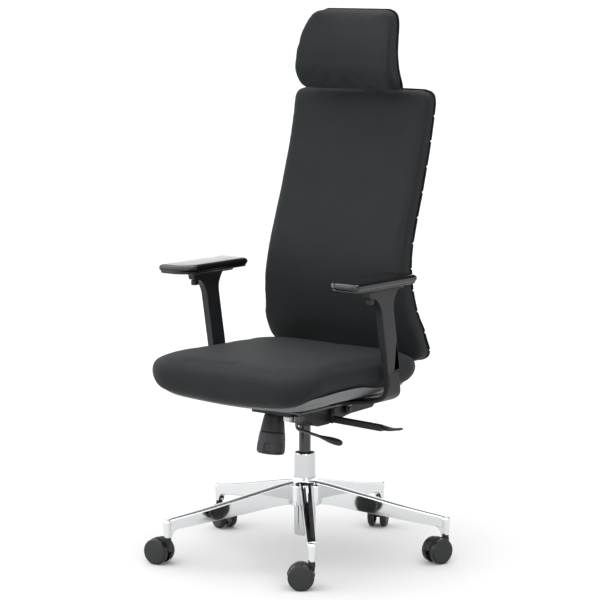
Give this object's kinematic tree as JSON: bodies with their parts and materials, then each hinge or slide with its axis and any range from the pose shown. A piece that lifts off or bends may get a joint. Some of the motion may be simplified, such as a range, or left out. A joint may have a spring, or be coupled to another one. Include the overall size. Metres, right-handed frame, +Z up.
{
  "type": "swivel office chair",
  "caption": "High-back swivel office chair with headrest, height-adjustable arms, gas lift, synchronous tilt and a polished star base on twin-wheel castors.",
  "frame": {"origin": "on the floor, under the middle of the chair's outer box", "axes": "+Z up, -Y the way the sitter faces, +X at the sitter's left hand"},
  "size_m": [0.6767, 0.6712, 1.27],
  "materials": {
    "polished_aluminium": "mirror polished, die cast",
    "chromed_tube": "chrome plated steel tube",
    "black_oxide_steel": "satin black",
    "bright_steel": "ground steel",
    "black_casting": "die cast, black powder coat",
    "black_nylon": "moulded, fine texture",
    "grey_plastic": "moulded, fine texture",
    "castor_nylon": "moulded, semi gloss",
    "soft_pad": "soft-touch polyurethane skin",
    "charcoal_fabric": "fine woven polyester over foam"
  },
  "bodies": {
    "base": {"star_base": "polished_aluminium", "column_outer_tube": "chromed_tube", "column_guide_bush": "black_nylon", "thrust_bearing": "bright_steel"},
    "lift_rod": {"piston_rod": "bright_steel"},
    "mechanism": {"gas_cylinder": "black_oxide_steel", "release_pin": "bright_steel", "mechanism_housing": "black_casting", "front_pivot_pin": "bright_steel", "rear_pivot_pin": "bright_steel", "tension_knob_sleeve": "black_nylon", "tilt_spring": "bright_steel"},
    "tension_knob": {"tension_knob": "black_nylon"},
    "height_lever": {"height_lever_rod": "black_oxide_steel", "height_lever_grip": "black_nylon"},
    "tilt_lever": {"tilt_lever": "black_nylon"},
    "seat": {"seat_plate": "black_oxide_steel", "seat_pan": "grey_plastic", "seat_cushion": "charcoal_fabric", "arm_bracket_left": "black_casting", "arm_bracket_right": "black_casting"},
    "back": {"back_yoke": "black_casting", "back_shell": "black_nylon", "back_cushion": "charcoal_fabric"},
    "headrest_slider": {"headrest_bracket": "black_casting"},
    "headrest": {"headrest_shell": "black_nylon", "headrest_cushion": "charcoal_fabric"},
    "castor_1": {"castor_1_hood": "castor_nylon", "castor_1_stem": "bright_steel"},
    "castor_1_wheels": {"castor_1_axle": "bright_steel", "castor_1_wheel_left": "castor_nylon", "castor_1_wheel_right": "castor_nylon"},
    "castor_2": {"castor_2_hood": "castor_nylon", "castor_2_stem": "bright_steel"},
    "castor_2_wheels": {"castor_2_axle": "bright_steel", "castor_2_wheel_left": "castor_nylon", "castor_2_wheel_right": "castor_nylon"},
    "castor_3": {"castor_3_hood": "castor_nylon", "castor_3_stem": "bright_steel"},
    "castor_3_wheels": {"castor_3_axle": "bright_steel", "castor_3_wheel_left": "castor_nylon", "castor_3_wheel_right": "castor_nylon"},
    "castor_4": {"castor_4_hood": "castor_nylon", "castor_4_stem": "bright_steel"},
    "castor_4_wheels": {"castor_4_axle": "bright_steel", "castor_4_wheel_left": "castor_nylon", "castor_4_wheel_right": "castor_nylon"},
    "castor_5": {"castor_5_hood": "castor_nylon", "castor_5_stem": "bright_steel"},
    "castor_5_wheels": {"castor_5_axle": "bright_steel", "castor_5_wheel_left": "castor_nylon", "castor_5_wheel_right": "castor_nylon"},
    "arm_left": {"arm_sleeve_left": "black_nylon"},
    "arm_trigger_left": {"arm_trigger_left": "black_nylon"},
    "arm_pad_base_left": {"arm_pad_base_left": "black_nylon"},
    "arm_pad_left": {"arm_pad_left": "soft_pad"},
    "arm_right": {"arm_sleeve_right": "black_nylon"},
    "arm_trigger_right": {"arm_trigger_right": "black_nylon"},
    "arm_pad_base_right": {"arm_pad_base_right": "black_nylon"},
    "arm_pad_right": {"arm_pad_right": "soft_pad"}
  },
  "joints": [
    {"name": "castor_1_swivel", "type": "hinge", "parent": "base", "child": "castor_1", "pos_m": [0.3154, 0.11711, 0.063], "axis": [0, 0, 1], "continuous": true},
    {"name": "castor_1_roll", "type": "hinge", "parent": "castor_1", "child": "castor_1_wheels", "pos_m": [0.30903, 0.09397, 0.03], "axis": [0.9641, -0.2656, 0], "continuous": true},
    {"name": "castor_2_swivel", "type": "hinge", "parent": "base", "child": "castor_2", "pos_m": [-0.02555, 0.32116, 0.063], "axis": [0, 0, 1], "continuous": true},
    {"name": "castor_2_roll", "type": "hinge", "parent": "castor_2", "child": "castor_2_wheels", "pos_m": [-0.01469, 0.29976, 0.03], "axis": [0.8918, 0.4524, 0], "continuous": true},
    {"name": "castor_3_swivel", "type": "hinge", "parent": "base", "child": "castor_3", "pos_m": [-0.32497, 0.05996, 0.063], "axis": [0, 0, 1], "continuous": true},
    {"name": "castor_3_roll", "type": "hinge", "parent": "castor_3", "child": "castor_3_wheels", "pos_m": [-0.30262, 0.0512, 0.03], "axis": [0.3649, 0.9311, 0], "continuous": true},
    {"name": "castor_4_swivel", "type": "hinge", "parent": "base", "child": "castor_4", "pos_m": [-0.16908, -0.30553, 0.063], "axis": [0, 0, 1], "continuous": true},
    {"name": "castor_4_roll", "type": "hinge", "parent": "castor_4", "child": "castor_4_wheels", "pos_m": [-0.19288, -0.30857, 0.03], "axis": [0.1271, -0.9919, 0], "continuous": true},
    {"name": "castor_5_swivel", "type": "hinge", "parent": "base", "child": "castor_5", "pos_m": [0.22669, -0.2702, 0.063], "axis": [0, 0, 1], "continuous": true},
    {"name": "castor_5_roll", "type": "hinge", "parent": "castor_5", "child": "castor_5_wheels", "pos_m": [0.20791, -0.28514, 0.03], "axis": [0.6225, -0.7826, 0], "continuous": true},
    {"name": "seat_swivel", "type": "hinge", "parent": "base", "child": "lift_rod", "pos_m": [0.0045, -0.0155, 0.06], "axis": [0, 0, 1], "continuous": true},
    {"name": "seat_height", "type": "slide", "parent": "lift_rod", "child": "mechanism", "axis": [0, 0, 1], "range_m": [-0.06, 0.04]},
    {"name": "tension_adjust", "type": "hinge", "parent": "mechanism", "child": "tension_knob", "pos_m": [0.0045, -0.1275, 0.356], "axis": [0, 0.1564, 0.9877], "range_deg": [-1440, 1440]},
    {"name": "height_lever_lift", "type": "hinge", "parent": "mechanism", "child": "height_lever", "pos_m": [0.0565, -0.123, 0.352], "axis": [0, -1, 0], "range_deg": [0, 8], "stiffness_Nm_per_rad": 0.6, "springref_deg": -22.92},
    {"name": "tilt_lever_turn", "type": "hinge", "parent": "mechanism", "child": "tilt_lever", "pos_m": [0.0595, 0.0145, 0.342], "axis": [1, 0, 0], "range_deg": [0, 25]},
    {"name": "back_recline", "type": "hinge", "parent": "mechanism", "child": "back", "pos_m": [0.0045, 0.0725, 0.337], "axis": [-1, 0, 0], "range_deg": [0, 18], "stiffness_Nm_per_rad": 70, "springref_deg": -25.78},
    {"name": "seat_tilt", "type": "hinge", "parent": "mechanism", "child": "seat", "pos_m": [0.0045, -0.0555, 0.348], "axis": [-1, 0, 0], "range_deg": [0, 5.4]},
    {"name": "arm_height_left", "type": "slide", "parent": "seat", "child": "arm_left", "axis": [0, -0.1736, 0.9848], "range_m": [0, 0.07]},
    {"name": "arm_trigger_press_left", "type": "slide", "parent": "arm_left", "child": "arm_trigger_left", "axis": [0, 0, 1], "range_m": [0, 0.003], "stiffness_N_per_m": 300, "springref_m": -0.002},
    {"name": "arm_pad_turn_left", "type": "hinge", "parent": "arm_left", "child": "arm_pad_base_left", "pos_m": [0.2565, -0.0705, 0.655], "axis": [0, 0, 1], "range_deg": [-15, 15]},
    {"name": "arm_pad_slide_left", "type": "slide", "parent": "arm_pad_base_left", "child": "arm_pad_left", "axis": [0, 1, 0], "range_m": [-0.025, 0.025]},
    {"name": "arm_height_right", "type": "slide", "parent": "seat", "child": "arm_right", "axis": [0, -0.1736, 0.9848], "range_m": [0, 0.07]},
    {"name": "arm_trigger_press_right", "type": "slide", "parent": "arm_right", "child": "arm_trigger_right", "axis": [0, 0, 1], "range_m": [0, 0.003], "stiffness_N_per_m": 300, "springref_m": -0.002},
    {"name": "arm_pad_turn_right", "type": "hinge", "parent": "arm_right", "child": "arm_pad_base_right", "pos_m": [-0.2475, -0.0705, 0.655], "axis": [0, 0, 1], "range_deg": [-15, 15]},
    {"name": "arm_pad_slide_right", "type": "slide", "parent": "arm_pad_base_right", "child": "arm_pad_right", "axis": [0, 1, 0], "range_m": [-0.025, 0.025]},
    {"name": "headrest_height", "type": "slide", "parent": "back", "child": "headrest_slider", "axis": [0, 0.184, 0.9829], "range_m": [0, 0.05]},
    {"name": "headrest_tilt", "type": "hinge", "parent": "headrest_slider", "child": "headrest", "pos_m": [0.0045, 0.19306, 1.1508], "axis": [-1, 0, 0], "range_deg": [0, 25]}
  ],
  "couplings": [
    {"joint": "seat_tilt", "follows": "back_recline", "ratio": 0.3}
  ]
}
